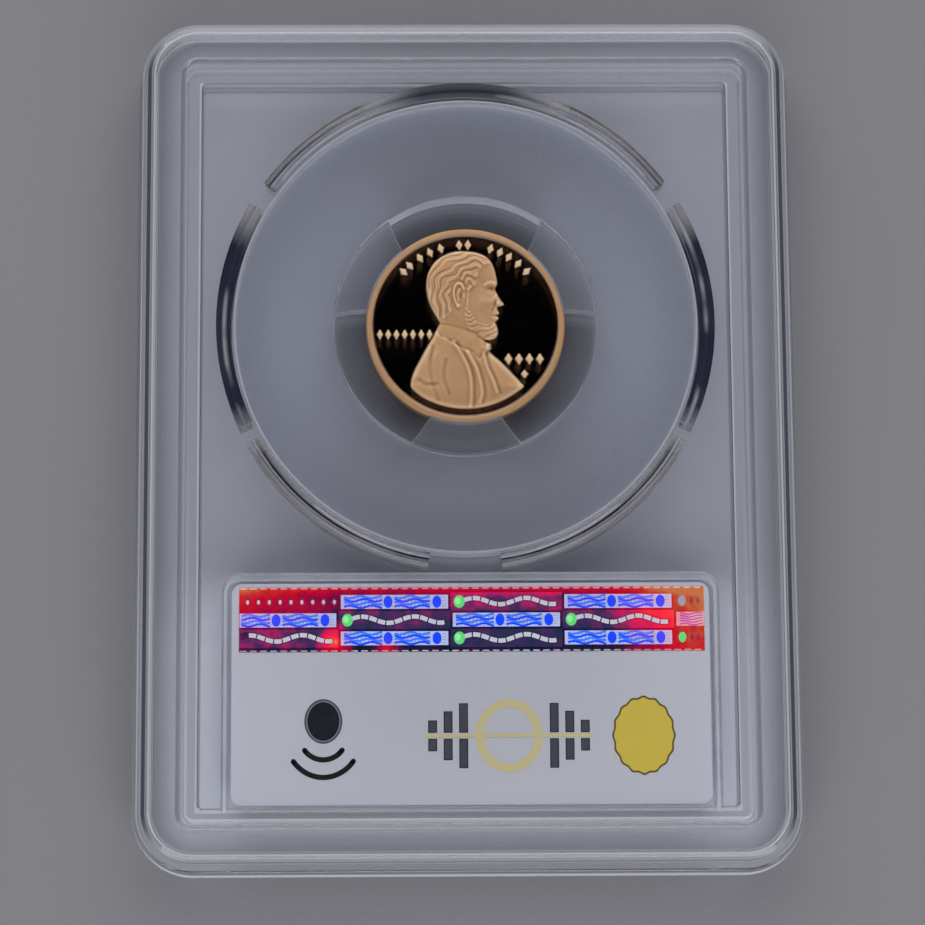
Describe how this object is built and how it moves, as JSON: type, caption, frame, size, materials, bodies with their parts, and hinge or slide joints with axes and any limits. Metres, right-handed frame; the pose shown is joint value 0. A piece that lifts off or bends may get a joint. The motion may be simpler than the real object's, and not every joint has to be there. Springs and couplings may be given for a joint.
{
  "type": "graded coin slab",
  "caption": "Sealed clear plastic holder with raised stacking rims, a small copper coin held by a prong insert, a printed label and a security strip.",
  "frame": {"origin": "on the resting plane, under the middle of the slab's outline", "axes": "+X across the slab's width, +Y up the slab's height, away from the label end towards the coin end, +Z out of the back face, the one that carries the security strip"},
  "size_m": [0.063, 0.0826, 0.008],
  "materials": {
    "shell_plastic": "clear polished polystyrene or acrylic",
    "insert_plastic": "clear moulded plastic, very faintly hazy",
    "coin_copper": "proof copper, mirror field and frosted relief",
    "label_paper": "printed white label card, satin",
    "hologram_foil": "metallised diffraction foil on polyester film",
    "inlay_film": "translucent polyester film",
    "antenna_aluminium": "etched foil track",
    "chip_black": "moulded black epoxy"
  },
  "bodies": {
    "root": {"front_shell": "shell_plastic", "back_shell": "shell_plastic", "coin_insert": "insert_plastic", "coin": "coin_copper", "front_label": "label_paper", "back_label": "label_paper", "hologram_strip": "hologram_foil", "nfc_inlay_film": "inlay_film", "nfc_antenna_coil": "antenna_aluminium", "nfc_chip": "chip_black"}
  },
  "joints": []
}
